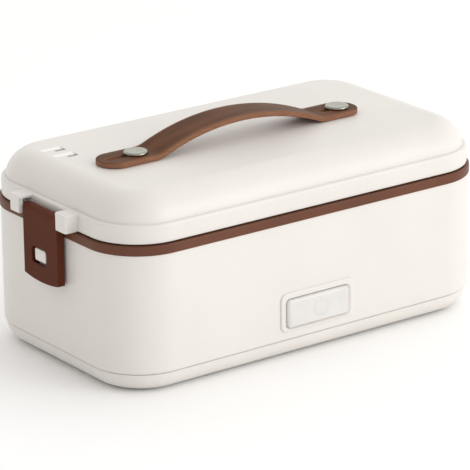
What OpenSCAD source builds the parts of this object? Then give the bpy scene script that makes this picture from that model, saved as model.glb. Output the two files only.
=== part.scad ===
// Electric lunch box: heated single-layer food box with a lift-off lid,
// two end latches and a leather strap handle.
// Millimetres, +Z up, origin at the centre of the footprint on the resting plane.

/* [Body] */
// overall length over the brown flange
body_l = 235; // [225:1:245]
// overall width over the brown flange
body_w = 134; // [128:1:140]
// plan corner radius of the flange
corner_r = 30.5; // [29:0.5:32]
// height of the seam between the base cover and the outer shell
seam_z = 10.8; // [10.4:0.1:11.4]
// underside of the flange
flange_z = 73.6; // [72:0.2:76]
// thickness of the visible flange band
flange_t = 5; // [4.6:0.1:5.6]
// wall of the outer shell
shell_t = 2.2; // [1.8:0.1:2.4]

/* [Lid] */
// height of the rim below the dome
rim_h = 9.9; // [9.4:0.1:10.4]
// height of the dome above the rim
dome_h = 13.4; // [13:0.1:15]
// inset of the dome from the flange edge
dome_inset = 3.5; // [3.4:0.1:3.8]
// radius of the dome's rolled edge
dome_r = 15.8; // [15.2:0.1:16.6]
// wall of the lid shell
lid_t = 2.4; // [2:0.1:2.6]

/* [Latches] */
// width of each latch flap
latch_w = 30.6; // [29:0.2:31]
// thickness of the flap
latch_t = 4.2; // [3.8:0.1:4.4]
// height of the lowest point of the flap
latch_low_z = 47; // [45:0.5:49]

/* [Strap] */
// width of the leather strap
strap_w = 20.2; // [18:0.1:21]
// thickness of the leather
strap_t = 2.8; // [2.4:0.1:3.2]
// rise of the arch above the tabs
arch_h = 10.9; // [10:0.1:14]
// distance from the middle of the strap to each stud
stud_x = 64.4; // [64:0.1:65.4]
// offset of the strap from the middle of the lid towards the front
strap_front = 5.6; // [0:0.1:8]
// offset of the strap from the middle of the lid towards the left
strap_left = 2.8; // [0:0.1:4]

/* [Container] */
// outer length of the steel container below its rim
pan_l = 204; // [200:1:205]
// outer width of the steel container below its rim
pan_w = 104; // [100:1:105]
// sheet thickness of the container
pan_t = 0.8; // [0.6:0.1:1]

/* [Controls] */
// width of the power button cap
button_w = 38.6; // [34:0.2:38.8]
// height of the power button cap
button_h = 14.8; // [14:0.2:15.4]

/* [Hidden] */
$fn = 96;

// colours
cream = [0.95, 0.94, 0.91];
umber = [0.36, 0.20, 0.16];
frost = [0.90, 0.92, 0.93];
steel = [0.78, 0.79, 0.80];
nickel = [0.72, 0.71, 0.69];
hide = [0.42, 0.27, 0.19];
black = [0.10, 0.10, 0.11];
silicone = [0.82, 0.82, 0.80];
alloy = [0.80, 0.81, 0.82];

// levels
foot_h = 0.8;
flange_top = flange_z + flange_t;
rim_z = flange_top + 0.7;
step_z = rim_z + rim_h;
lid_top = step_z + dome_h;
base_r = seam_z - foot_h - 0.2;
chamber_floor = 24;
plate_t = 1.2;
plate_top = chamber_floor + plate_t;
ledge_z = flange_top - 1.4;
cover_z = ledge_z + pan_t;
cover_top = cover_z + 1.6;

// plan sizes
shell_l = body_l - 1.4;
shell_w = body_w - 1.4;
shell_r = corner_r - 0.7;
base_l = shell_l - 1;
base_w = shell_w - 1;
rim_inset = 1.4;
rim_l = body_l - 2 * rim_inset;
rim_w = body_w - 2 * rim_inset;
rim_r = corner_r - rim_inset;
dome_l = body_l - 2 * dome_inset;
dome_w = body_w - 2 * dome_inset;
dome_c = corner_r - dome_inset;
cavity_l = pan_l + 3;
cavity_w = pan_w + 3;
cavity_r = 16;
recess_r = 18;
pan_r = 17;
pan_rim = 3;

// lid liner
liner_top = rim_z + 4;
boss_x = 80;
boss_y = 38;

// latch
pivot_x = body_l / 2 + 1.9;
pivot_z = rim_z + 3.4;
barrel_r = 3;
flap_in = body_l / 2 + 0.7;
flap_out = flap_in + latch_t;
window_w = 13.2;
window_y = 1.6;
window_lo = latch_low_z + 9;
window_hi = window_lo + 8.6;
catch_w = 9.8;
catch_lo = window_lo + 1.2;
catch_hi = window_hi - 0.8;
catch_out = flap_out - 0.8;
lug_in = latch_w / 2 + 0.2;
lug_w = 10;
lug_out = flap_out + 1.4;
lug_top = step_z - 0.6;
lug_skin = 1.4;
pocket_x = body_l / 2 - rim_inset + 0.3;
pin_r = 1.5;

// strap
strap_z = lid_top + 0.15;
strap_top = strap_z + strap_t;
slot_r = 2.2;
neck_r = 1.5;
head_r = 6.3;
arch_x = -4.5;
arch_half = 54.2;
arch_phi = 2 * atan(arch_h / arch_half);
arch_sum = arch_half / sin(arch_phi);
foot_left = 15;
foot_right = 8;
tab_left = -stud_x - 22.2;
tab_right = stud_x + 10.9;

// button and board, behind the front wall
front_y = -shell_w / 2;
wall_y = front_y + shell_t;
board_y = wall_y + 6.2;
board_t = 1.4;
board_z = 26;
post_dx = 26;
post_z = 31;
bezel_back = wall_y + 1;
cap_out = 1.9;
press = 1.2;
flange_y = bezel_back + 0.2;
button_x = 1.2;
button_z = 25.4;
icon_x = button_x + 1.4;
icon_r = 4.85;
bezel_w = button_w + 8.4;
bezel_h = button_h + 6.2;
bezel_z = button_z + 0.8;
button_gap = 0.7;

// base fixings
screw_x = 72;
screw_y = 43;
foot_x = 90;
foot_y = 41;

// inlet, on the right-hand end
inlet_x = shell_l / 2;
inlet_z = 26;
inlet_w = 34;
inlet_h = 17;
pin_pitch = 8.6;
wire_x = inlet_x - 9.8;

// ---------- shared shapes ----------

// flat rounded rectangle
module rrect(l, w, r) {
  square([l - 2 * r, w], center = true);
  square([l, w - 2 * r], center = true);
  for (sx = [-1, 1])
    for (sy = [-1, 1])
      translate([sx * (l / 2 - r), sy * (w / 2 - r)])
        circle(r);
}

// upright rounded slab between two levels
module slab(l, w, r, z0, z1) {
  translate([0, 0, z0])
    linear_extrude(height = z1 - z0)
      rrect(l, w, r);
}

// rectangular ring between two levels, wall measured inwards
module frame_ring(l, w, r, t, z0, z1) {
  translate([0, 0, z0])
    linear_extrude(height = z1 - z0)
      difference() {
        rrect(l, w, r);
        rrect(l - 2 * t, w - 2 * t, r - t);
      }
}

// half section of a slab with rolled bottom (lo) and top (hi) edges
module rolled_section(r, z0, z1, lo, hi) {
  translate([0, z0 + lo])
    square([r, z1 - z0 - lo - hi]);
  if (lo > 0) {
    translate([0, z0])
      square([r - lo, lo]);
    translate([r - lo, z0 + lo])
      intersection() {
        circle(lo);
        translate([0, -lo])
          square([lo, lo]);
      }
  }
  if (hi > 0) {
    translate([0, z1 - hi])
      square([r - hi, hi]);
    translate([r - hi, z1 - hi])
      intersection() {
        circle(hi);
        square([hi, hi]);
      }
  }
}

// sweeps a half section round four corner centres
module sweep_round(cx, cy) {
  translate([cx, cy, 0])
    rotate_extrude(angle = 90)
      children();
  translate([-cx, cy, 0])
    rotate([0, 0, 90])
      rotate_extrude(angle = 90)
        children();
  translate([-cx, -cy, 0])
    rotate([0, 0, 180])
      rotate_extrude(angle = 90)
        children();
  translate([cx, -cy, 0])
    rotate([0, 0, 270])
      rotate_extrude(angle = 90)
        children();
  for (side = [0, 1])
    mirror([side, 0, 0])
      translate([cx, cy, 0])
        rotate([90, 0, 0])
          linear_extrude(height = 2 * cy)
            children();
  for (side = [0, 1])
    mirror([0, side, 0])
      translate([-cx, cy, 0])
        rotate([0, 0, 90])
          rotate([90, 0, 0])
            linear_extrude(height = 2 * cx)
              children();
}

// rounded slab with rolled edges
module pillow(l, w, r, z0, z1, lo = 0, hi = 0) {
  cx = l / 2 - r;
  cy = w / 2 - r;
  union() {
    sweep_round(cx, cy)
      rolled_section(r, z0, z1, lo, hi);
    translate([-cx, -cy, z0])
      cube([2 * cx, 2 * cy, z1 - z0]);
  }
}

// shaft along Z
module shaft(r, z0, z1) {
  translate([0, 0, z0])
    cylinder(r = r, h = z1 - z0);
}

// copies at the four corners of a rectangle
module at_corners(x, y) {
  for (sx = [-1, 1])
    for (sy = [-1, 1])
      translate([sx * x, sy * y, 0])
        children();
}

// rounded plate standing in the X-Z plane, from y0 towards +Y
module front_plate(l, h, r, y0, t) {
  translate([0, y0 + t, 0])
    rotate([90, 0, 0])
      linear_extrude(height = t)
        rrect(l, h, r);
}

// rounded plate standing in the Y-Z plane, from x0 towards +X
module side_plate(l, h, r, x0, t) {
  translate([x0, 0, 0])
    rotate([90, 0, 90])
      linear_extrude(height = t)
        rrect(l, h, r);
}

// ---------- body ----------

module outer_shell() {
  color(cream)
    difference() {
      union() {
        frame_ring(shell_l, shell_w, shell_r, shell_t, seam_z + 0.3, flange_z);
        for (side = [0, 1])
          mirror([side, 0, 0])
            translate([0, window_y, (catch_lo + catch_hi) / 2])
              side_plate(catch_w, catch_hi - catch_lo, 1.2, shell_l / 2 - 1,
                catch_out - shell_l / 2 + 1);
        at_posts(2.2, wall_y - 0.4, board_y - wall_y + 0.4);
      }
      at_posts(1.25, wall_y + 1.6, board_y - wall_y);
      translate([button_x, 0, bezel_z])
        front_plate(bezel_w - 1.2, bezel_h - 1.2, 3.4, front_y - 1, shell_t + 2);
      translate([0, 0, inlet_z])
        side_plate(inlet_w - 11, inlet_h - 4, 3, inlet_x - shell_t - 1, shell_t + 2);
      translate([inlet_x - shell_t - 1, 0, inlet_z])
        rotate([0, 90, 0])
          for (sy = [-1, 1])
            translate([0, sy * 13.8, 0])
              cylinder(r = 1.55, h = shell_t + 2);
    }
}

module base_cover() {
  color(cream)
    difference() {
      union() {
        difference() {
          pillow(base_l, base_w, shell_r - 0.5, foot_h, seam_z, lo = base_r);
          pillow(base_l - 5.6, base_w - 5.6, shell_r - 3.3, foot_h + 2.4, seam_z + 1,
            lo = base_r - 2.6);
        }
        frame_ring(shell_l - 2 * shell_t - 0.3, shell_w - 2 * shell_t - 0.3,
          shell_r - shell_t - 0.15, 1.6, seam_z - 1, seam_z + 3.2);
        at_corners(screw_x, screw_y)
          shaft(4.6, foot_h + 1, 7);
      }
      at_corners(screw_x, screw_y) {
        shaft(1.7, 0, 8);
        shaft(3.4, 0, 4);
      }
      at_corners(foot_x, foot_y)
        shaft(8.1, 0, 1.8);
      for (i = [-4 : 4])
        translate([i * 7, 0, -1])
          linear_extrude(height = 6)
            rrect(2.8, 26, 1.3);
    }
}

module feet() {
  color(black)
    at_corners(foot_x, foot_y)
      shaft(8, 0, 1.8);
}

module base_screws() {
  color(steel)
    at_corners(screw_x, screw_y)
      difference() {
        union() {
          shaft(2.9, 2, 4);
          shaft(1.5, 3.5, 17);
        }
        translate([-1.9, -0.35, 1])
          cube([3.8, 0.7, 2]);
        translate([-0.35, -1.9, 1])
          cube([0.7, 3.8, 2]);
      }
}

// visible band between body and lid, with the ledge for the container
module flange_ring() {
  color(umber)
    difference() {
      slab(body_l, body_w, corner_r, flange_z, flange_top);
      slab(cavity_l, cavity_w, cavity_r, flange_z - 1, flange_top);
      slab(cavity_l + 9, cavity_w + 9, recess_r, ledge_z, flange_top + 1);
    }
}

module chamber_tub() {
  color(umber)
    difference() {
      union() {
        slab(cavity_l + 3.6, cavity_w + 3.6, cavity_r + 1.8, chamber_floor - 1.8, flange_z);
        at_corners(screw_x, screw_y)
          shaft(4, 7, chamber_floor - 1);
        at_corners(36, 22)
          shaft(3.2, 17.5, chamber_floor - 1);
      }
      slab(cavity_l, cavity_w, cavity_r, chamber_floor, flange_z + 1);
      slab(118, 36, 4, chamber_floor - 3, chamber_floor + 1);
      at_corners(screw_x, screw_y)
        shaft(1.55, 6, 18);
      at_corners(36, 22)
        shaft(1.3, 16, 22.4);
    }
}

module heating_plate() {
  color(alloy)
    union() {
      slab(168, 78, 12, chamber_floor, plate_top);
      slab(117.4, 35.4, 3.7, chamber_floor - 2, chamber_floor + 0.4);
    }
}

module heater() {
  color(alloy)
    translate([0, 0, chamber_floor - 4.6])
      linear_extrude(height = 2.6)
        rrect(96, 30, 2);
}

module heater_clamp() {
  color(steel)
    difference() {
      union() {
        slab(80, 16, 2, 18.2, chamber_floor - 4.6);
        at_corners(36, 22)
          shaft(3.6, 16.3, 17.5);
        for (sx = [-1, 1])
          translate([sx * 36 - 3.6, -22, 16.3])
            cube([7.2, 44, 1.2]);
        for (sx = [-1, 1])
          translate([sx * 36 - 3.6, -8, 17])
            cube([7.2, 16, 2]);
      }
      at_corners(36, 22)
        shaft(1.4, 15, 19);
    }
}

module clamp_screws() {
  color(steel)
    at_corners(36, 22)
      union() {
        shaft(2.5, 14.8, 16.3);
        shaft(1.2, 16, 21.5);
      }
}

module thermostat() {
  color(black)
    union() {
      shaft(7.8, 9.4, 15.4);
      shaft(6.9, 15.4, 18.2);
      for (sx = [-1, 1])
        translate([sx * 5 - 0.4, -3.2, 5.6])
          cube([0.8, 6.4, 4.4]);
    }
}

module thermal_fuse() {
  color(nickel)
    translate([-26, -5, 16.2])
      rotate([0, 90, 0])
        union() {
          cylinder(r = 2, h = 12);
          translate([0, 0, -6])
            cylinder(r = 0.5, h = 24);
        }
}

// holes or shafts along Y at the two board posts
module at_posts(r, y0, t) {
  for (sx = [-1, 1])
    translate([button_x + sx * post_dx, y0, post_z])
      rotate([-90, 0, 0])
        cylinder(r = r, h = t);
}

module control_board() {
  color([0.12, 0.32, 0.20])
    difference() {
      union() {
        translate([button_x, 0, board_z])
          front_plate(58, 22, 1.5, board_y, board_t);
        translate([button_x + 12, board_y - 1.2, board_z - 7.4])
          cube([7, 1.4, 4]);
      }
      at_posts(1.3, board_y - 1, board_t + 2);
    }
}

module board_screws() {
  color(steel)
    union() {
      at_posts(1.2, board_y - 3.6, board_t + 3.8);
      at_posts(2.2, board_y + board_t, 0.9);
    }
}

module switch_body() {
  color(black)
    difference() {
      translate([button_x - 3, board_y - 2.2, button_z - 3])
        cube([6, 2.2, 6]);
      translate([button_x, board_y - 3, button_z])
        rotate([-90, 0, 0])
          cylinder(r = 1.6, h = 2.5);
    }
}

module switch_plunger() {
  color(umber)
    translate([button_x, flange_y + 1, button_z])
      rotate([-90, 0, 0])
        cylinder(r = 1.5, h = board_y - 0.6 - press - flange_y - 1);
}

module button_bezel() {
  color(cream)
    difference() {
      translate([button_x, 0, bezel_z])
        union() {
          front_plate(bezel_w, bezel_h, 4, front_y - 0.9, 0.9);
          front_plate(bezel_w - 1.6, bezel_h - 1.6, 3.2, front_y - 0.2,
            bezel_back - front_y + 0.2);
        }
      translate([button_x, 0, button_z])
        front_plate(button_w + 2 * button_gap, button_h + 2 * button_gap, 2.6,
          front_y - 2, shell_t + 4);
    }
}

module power_button() {
  color(frost)
    difference() {
      translate([button_x, 0, button_z])
        union() {
          front_plate(button_w, button_h, 2, front_y - cap_out,
            flange_y + 0.5 - front_y + cap_out);
          front_plate(button_w + 3.4, button_h + 3.4, 3.4, flange_y, 1);
        }
      translate([icon_x, front_y - cap_out - 1, button_z])
        rotate([-90, 0, 0])
          difference() {
            cylinder(r = icon_r + 0.05, h = 1.5);
            translate([0, 0, -1])
              cylinder(r = icon_r - 0.85, h = 4);
          }
    }
}

module button_icon() {
  color(frost)
    translate([icon_x, front_y - cap_out + 0.05, button_z])
      rotate([-90, 0, 0])
        difference() {
          cylinder(r = icon_r, h = 0.4);
          translate([0, 0, -1])
            cylinder(r = icon_r - 0.8, h = 3);
        }
}

module inlet_socket() {
  color(black)
    difference() {
      union() {
        translate([0, 0, inlet_z])
          side_plate(inlet_w, inlet_h, 4, inlet_x, 1.4);
        translate([0, 0, inlet_z])
          side_plate(inlet_w - 12, inlet_h - 5, 2.6, inlet_x - 7.4, 8);
      }
      translate([0, 0, inlet_z])
        side_plate(16.6, 9, 4.4, inlet_x - 6.2, 10);
      translate([inlet_x - 9, 0, inlet_z])
        rotate([0, 90, 0]) {
          for (sy = [-1, 1]) {
            translate([0, sy * 13.8, 0])
              cylinder(r = 1.55, h = 12);
            translate([0, sy * pin_pitch / 2, 0])
              cylinder(r = 1.2, h = 4);
          }
        }
    }
}

module inlet_pins() {
  color(nickel)
    translate([inlet_x - 8.6, 0, inlet_z])
      rotate([0, 90, 0])
        for (sy = [-1, 1])
          translate([0, sy * pin_pitch / 2, 0])
            cylinder(r = 1.18, h = 8.4);
}

module inlet_screws() {
  color(steel)
    translate([inlet_x - shell_t - 2, 0, inlet_z])
      rotate([0, 90, 0])
        for (sy = [-1, 1])
          translate([0, sy * 13.8, 0])
            difference() {
              union() {
                cylinder(r = 1.5, h = shell_t + 4);
                translate([0, 0, shell_t + 3.4])
                  cylinder(r = 2.6, h = 1.4);
              }
              translate([-1.7, -0.3, shell_t + 4.2])
                cube([3.4, 0.6, 1]);
            }
}

// one run of wire along X, then a drop in Y
module wire_run(x0, x1, y, z) {
  translate([x0, y, z])
    rotate([0, 90, 0])
      cylinder(r = 1, h = x1 - x0);
}

module wires() {
  color([0.75, 0.15, 0.12]) {
    for (sy = [-1, 1]) {
      wire_run(5, wire_x, sy * pin_pitch / 2, 7);
      translate([wire_x, sy * pin_pitch / 2, 6])
        cylinder(r = 1, h = inlet_z - 5.4);
      wire_run(wire_x, inlet_x - 8.6, sy * pin_pitch / 2, inlet_z);
    }
  }
}

// ---------- lid ----------

// hollow lug, open below and towards the flap
module lug() {
  difference() {
    union() {
      translate([body_l / 2 - rim_inset - 2, -lug_w / 2, rim_z])
        cube([lug_out - 3 - body_l / 2 + rim_inset + 2, lug_w, lug_top - rim_z]);
      translate([0, 0, rim_z])
        linear_extrude(height = lug_top - rim_z)
          translate([lug_out - 3.5, 0])
            rrect(7, lug_w, 2.4);
    }
    translate([pocket_x, -lug_w / 2 - 1, rim_z - 1])
      cube([lug_out - 2.6 - pocket_x, 7.5, lug_top - rim_z + 1 - lug_skin]);
    translate([pocket_x, -lug_w / 2 - 1, rim_z - 1])
      cube([lug_out + 1 - pocket_x, 2.2, lug_top - rim_z + 1 - lug_skin]);
  }
}

// steam vent: a shallow tapered recess with a slot through its deeper side
module vent() {
  rotate([90, 0, 90])
    linear_extrude(height = 11.8)
      polygon([[0, -0.4], [7.2, 0], [7.2, 1], [0, 1]]);
  translate([6.2, 0, -lid_t - 1])
    cube([5.6, 3.2, lid_t + 2]);
}

module lid_shell() {
  color(cream)
    difference() {
      union() {
        difference() {
          union() {
            pillow(rim_l, rim_w, rim_r, rim_z, step_z, hi = 2);
            pillow(dome_l, dome_w, dome_c, rim_z + 2, lid_top, hi = dome_r);
          }
          pillow(dome_l - 2 * lid_t, dome_w - 2 * lid_t, dome_c - lid_t, rim_z - 1,
            lid_top - lid_t, hi = dome_r - lid_t);
        }
        for (side = [0, 1])
          mirror([side, 0, 0])
            for (end = [0, 1])
              mirror([0, end, 0])
                translate([0, lug_in + lug_w / 2, 0])
                  lug();
        at_corners(boss_x, boss_y)
          shaft(3.8, liner_top, lid_top - lid_t / 2);
      }
      at_corners(boss_x, boss_y)
        shaft(1.55, liner_top - 1, lid_top - lid_t - 3);
      frame_ring(body_l - 6, body_w - 6, corner_r - 3, 2.2, rim_z - 1, rim_z + 1.5);
      for (side = [0, 1])
        mirror([side, 0, 0])
          translate([pivot_x, lug_in + lug_w - 2, pivot_z])
            rotate([90, 0, 0])
              cylinder(r = pin_r + 0.05, h = 2 * (lug_in + lug_w - 2));
      at_studs()
        shaft(1.6, lid_top - 5, lid_top + 1);
      for (y = [17.8, 29.4])
        translate([-97.8, y, lid_top])
          vent();
    }
}

module lid_liner() {
  color(frost)
    difference() {
      union() {
        slab(dome_l - 2 * lid_t - 0.4, dome_w - 2 * lid_t - 0.4, dome_c - lid_t - 0.2,
          liner_top - 1.8, liner_top);
        frame_ring(cavity_l - 8, cavity_w - 8, cavity_r - 3, 1.8, liner_top - 0.5,
          liner_top + 3);
      }
      at_corners(boss_x, boss_y) {
        shaft(1.7, rim_z, liner_top + 1);
        shaft(3.2, rim_z, liner_top - 1);
      }
      for (i = [-3 : 3])
        translate([i * 9, 0, rim_z])
          linear_extrude(height = 6)
            rrect(3, 22, 1.4);
    }
}

module liner_screws() {
  color(steel)
    at_corners(boss_x, boss_y)
      difference() {
        union() {
          shaft(1.5, liner_top - 1.2, liner_top + 10);
          shaft(2.8, liner_top - 2.2, liner_top - 1);
        }
        translate([-1.8, -0.35, liner_top - 3])
          cube([3.6, 0.7, 1.5]);
        translate([-0.35, -1.8, liner_top - 3])
          cube([0.7, 3.6, 1.5]);
      }
}

module lid_seal() {
  color(silicone)
    frame_ring(body_l - 6.2, body_w - 6.2, corner_r - 3.1, 2, flange_top, rim_z + 1.5);
}

// flap, drawn on the +X end
module flap() {
  difference() {
    union() {
      translate([flap_in, 0, 0])
        rotate([90, 0, 90])
          linear_extrude(height = latch_t)
            intersection() {
              translate([-latch_w / 2, latch_low_z])
                square([latch_w, pivot_z - latch_low_z]);
              translate([0, latch_low_z + 72.8])
                circle(72.8);
            }
      translate([pivot_x, latch_w / 2, pivot_z])
        rotate([90, 0, 0])
          cylinder(r = barrel_r, h = latch_w);
    }
    translate([pivot_x, latch_w, pivot_z])
      rotate([90, 0, 0])
        cylinder(r = pin_r + 0.1, h = 2 * latch_w);
    translate([0, window_y, (window_lo + window_hi) / 2])
      side_plate(window_w, window_hi - window_lo, 2, flap_in - 1, latch_t + 2);
    translate([0, window_y + window_w / 2, 0])
      rotate([90, 0, 0])
        linear_extrude(height = window_w)
          polygon([
            [flap_in - 1, window_lo - 4.6],
            [flap_in + 3.3, window_lo + 0.1],
            [flap_in + 3.3, window_lo + 3],
            [flap_in - 1, window_lo + 3]
          ]);
  }
}

module latch_right() {
  color(umber)
    flap();
}

module latch_left() {
  color(umber)
    mirror([1, 0, 0])
      flap();
}

module latch_pins() {
  color(steel)
    for (side = [0, 1])
      mirror([side, 0, 0])
        translate([pivot_x, lug_in + lug_w - 2.2, pivot_z])
          rotate([90, 0, 0])
            cylinder(r = pin_r, h = 2 * (lug_in + lug_w - 2.2));
}

// ---------- strap handle ----------

// points along an arc; the ends can be left out
function arc(x, z, r, a0, a1, n, skip = 0) = [
  for (i = [skip : n - skip])
    let (a = a0 + (a1 - a0) * i / n)
      [x + r * cos(a), z + r * sin(a)]
];

// side view of the strap: two flat tabs, two foot bends and one long arch
module strap_side() {
  mid = strap_t / 2;
  xl = arch_x - arch_half;
  xr = arch_x + arch_half;
  crest = mid + arch_h;
  rl = arch_sum - foot_left;
  rr = arch_sum - foot_right;
  polygon(concat(
    [[tab_left, 0]],
    arc(xl, mid + foot_left, foot_left + mid, 270, 270 + arch_phi, 8),
    arc(arch_x, crest - rl, rl - mid, 90 + arch_phi, 90, 10, 1),
    [[arch_x, arch_h]],
    arc(arch_x, crest - rr, rr - mid, 90, 90 - arch_phi, 10, 1),
    arc(xr, mid + foot_right, foot_right + mid, 270 - arch_phi, 270, 8),
    [[tab_right, 0], [tab_right, strap_t]],
    arc(xr, mid + foot_right, foot_right - mid, 270, 270 - arch_phi, 8),
    arc(arch_x, crest - rr, rr + mid, 90 - arch_phi, 90, 10, 1),
    [[arch_x, arch_h + strap_t]],
    arc(arch_x, crest - rl, rl + mid, 90, 90 + arch_phi, 10, 1),
    arc(xl, mid + foot_left, foot_left - mid, 270 + arch_phi, 270, 8),
    [[tab_left, strap_t]]
  ));
}

// slot for a stud neck, between two places along the strap
module strap_slot(x0, x1) {
  translate([x0, 0])
    circle(slot_r);
  translate([x1, 0])
    circle(slot_r);
  translate([x0, -slot_r])
    square([x1 - x0, 2 * slot_r]);
}

// copies at the two studs
module at_studs() {
  for (sx = [-1, 1])
    translate([sx * stud_x - strap_left, -strap_front, 0])
      children();
}

module strap() {
  color(hide)
    translate([-strap_left, -strap_front, 0])
      intersection() {
        translate([0, strap_w / 2, strap_z])
          rotate([90, 0, 0])
            linear_extrude(height = strap_w)
              strap_side();
        translate([(tab_left + tab_right) / 2, 0, strap_z - 1])
          linear_extrude(height = arch_h + strap_t + 2)
            difference() {
              rrect(tab_right - tab_left, strap_w, strap_w / 2 - 0.3);
              translate([-(tab_left + tab_right) / 2, 0]) {
                strap_slot(-stud_x - 16, -stud_x);
                strap_slot(stud_x - 9.4, stud_x + 3.6);
              }
            }
      }
}

module studs() {
  color(nickel)
    at_studs()
      union() {
        shaft(neck_r, lid_top - 6, strap_top + 1);
        pillow_disc(head_r, strap_top + 0.2, strap_top + 1.6);
      }
}

// round head with a rolled top edge
module pillow_disc(r, z0, z1) {
  rotate_extrude()
    rolled_section(r, z0, z1, 0, 0.8);
}

module stud_nuts() {
  color(steel)
    at_studs()
      difference() {
        union() {
          shaft(5, lid_top - lid_t - 0.8, lid_top - lid_t);
          translate([0, 0, lid_top - lid_t - 3])
            cylinder(r = 3, h = 2.4, $fn = 6);
        }
        shaft(1.55, lid_top - 8, lid_top);
      }
}

// ---------- food container ----------

module food_pan() {
  color(steel)
    difference() {
      union() {
        pillow(pan_l, pan_w, pan_r, plate_top, ledge_z, lo = 6);
        slab(pan_l + 2 * pan_rim, pan_w + 2 * pan_rim, pan_r + pan_rim, ledge_z,
          ledge_z + pan_t);
      }
      pillow(pan_l - 2 * pan_t, pan_w - 2 * pan_t, pan_r - pan_t, plate_top + pan_t,
        ledge_z + 2, lo = 6 - pan_t);
    }
}

module pan_lid() {
  color(frost)
    difference() {
      slab(pan_l + 3, pan_w + 3, pan_r + 5, cover_z, cover_top);
      shaft(5.1, cover_z - 1, cover_top + 1);
    }
}

// soft plug wall under the cover, standing inside the container's mouth
module pan_seal() {
  color(silicone)
    frame_ring(pan_l - 7, pan_w - 7, pan_r - 2, 2.2, cover_z - 4.2, cover_z);
}

module pan_valve() {
  color(silicone)
    union() {
      shaft(5, cover_z - 0.5, cover_top + 0.3);
      shaft(7, cover_top, cover_top + 0.8);
      shaft(6, cover_z - 2, cover_z);
    }
}

outer_shell();
base_cover();
feet();
base_screws();
flange_ring();
chamber_tub();
heating_plate();
heater();
thermostat();
thermal_fuse();
heater_clamp();
clamp_screws();
control_board();
board_screws();
switch_body();
button_bezel();
power_button();
button_icon();
switch_plunger();
inlet_socket();
inlet_pins();
inlet_screws();
wires();
lid_shell();
lid_liner();
liner_screws();
lid_seal();
latch_left();
latch_right();
latch_pins();
strap();
studs();
stud_nuts();
food_pan();
pan_lid();
pan_seal();
pan_valve();
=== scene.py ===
"""Electric lunch box: the dressed pieces, their finishes, the studio and the camera.

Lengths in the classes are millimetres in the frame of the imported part, +Z up,
with the origin at the middle of the footprint.
"""

import logging
import math
from dataclasses import dataclass, field
from enum import Enum
from typing import Any, Callable, Iterable, Sequence, Union

import bmesh
import bpy
from mathutils import Matrix, Vector

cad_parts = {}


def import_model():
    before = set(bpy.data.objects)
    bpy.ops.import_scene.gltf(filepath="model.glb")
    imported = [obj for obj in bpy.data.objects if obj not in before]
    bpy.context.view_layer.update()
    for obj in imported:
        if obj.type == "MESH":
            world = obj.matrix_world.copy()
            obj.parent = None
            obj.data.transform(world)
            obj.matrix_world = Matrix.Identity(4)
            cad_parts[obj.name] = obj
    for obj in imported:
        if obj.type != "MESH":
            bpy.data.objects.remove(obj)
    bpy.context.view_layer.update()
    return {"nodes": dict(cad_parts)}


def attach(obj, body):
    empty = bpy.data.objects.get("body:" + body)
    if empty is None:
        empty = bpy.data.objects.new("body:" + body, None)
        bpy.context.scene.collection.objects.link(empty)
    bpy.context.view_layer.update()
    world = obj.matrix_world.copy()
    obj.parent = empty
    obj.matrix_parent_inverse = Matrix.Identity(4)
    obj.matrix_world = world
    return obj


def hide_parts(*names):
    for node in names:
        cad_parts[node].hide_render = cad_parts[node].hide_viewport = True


LOG = logging.getLogger("lunch_box")
MM = 0.001
Colour = tuple[float, float, float, float]
Material = bpy.types.Material
Point = tuple[float, float]  # a place in one plane, or a range
Bar = tuple[float, float, float]  # a radius and two ends
Spot = tuple[float, float, float]


def linear(*screen: int) -> Colour:
    """Turns a screen colour, as three numbers up to 255, into the linear one that shaders take."""
    shares = [value / 255 for value in screen]
    return (*(s / 12.92 if s <= 0.04045 else ((s + 0.055) / 1.055) ** 2.4 for s in shares), 1.0)


def shade(colour: Colour, share: float) -> Colour:
    """Returns a colour made lighter or darker by a share."""
    return (*(min(1.0, c * share) for c in colour[:3]), 1.0)


# ---------------------------------------------------------------- shader graph


def operator(operation: str, swapped: bool = False) -> Callable[["Term", Any], "Term"]:
    """Makes an operator of Term.

    Args:
        operation: the Math node's operation.
        swapped: whether the other value comes first, as in a reflected form.

    Returns:
        The method.
    """
    def apply(term: "Term", other: Any) -> "Term":
        """Returns the Math node's result."""
        sides = (other, term) if swapped else (term, other)
        return term.graph.term("ShaderNodeMath", {"operation": operation}, dict(enumerate(sides)))

    return apply


@dataclass(frozen=True)
class Term:
    """One output socket of a material, with arithmetic on it."""

    graph: "Graph"
    socket: bpy.types.NodeSocket

    __add__, __radd__ = operator("ADD"), operator("ADD", True)
    __sub__, __rsub__ = operator("SUBTRACT"), operator("SUBTRACT", True)
    __mul__, __rmul__ = operator("MULTIPLY"), operator("MULTIPLY", True)
    __pow__ = operator("POWER")

    def step(self, low: float, high: float) -> "Term":
        """Returns a share that eases from 0 at the low value to 1 at the high one."""
        span = {"Value": self, "From Min": low, "From Max": high}
        return self.graph.term("ShaderNodeMapRange", {"interpolation_type": "SMOOTHSTEP"}, span, "Result")


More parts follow.
